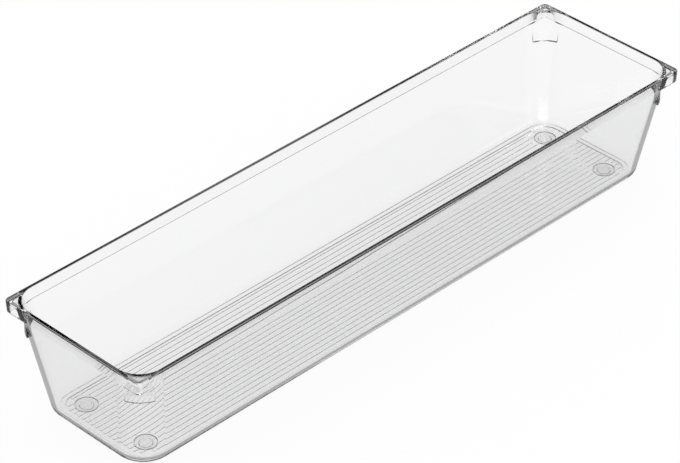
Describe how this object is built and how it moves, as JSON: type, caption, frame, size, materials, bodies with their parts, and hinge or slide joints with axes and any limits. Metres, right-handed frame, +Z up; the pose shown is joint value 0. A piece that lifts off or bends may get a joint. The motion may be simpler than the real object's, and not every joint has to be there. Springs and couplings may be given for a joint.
{
  "type": "drawer organizer bin",
  "caption": "Long narrow clear plastic drawer organizer bin, open on top, with sloped walls, a square rim over rounded corners, a ribbed floor and soft feet.",
  "frame": {"origin": "middle of the footprint, on the surface that the feet stand on", "axes": "+X along the bin's length, +Y across its width, +Z up out of the open top"},
  "size_m": [0.3048, 0.0762, 0.0516],
  "materials": {
    "clear_plastic": "clear, colourless and glossy",
    "clear_soft": "clear, soft and slightly frosted"
  },
  "bodies": {
    "root": {"bin": "clear_plastic", "foot_front_left": "clear_soft", "foot_front_right": "clear_soft", "foot_back_left": "clear_soft", "foot_back_right": "clear_soft"}
  },
  "joints": []
}
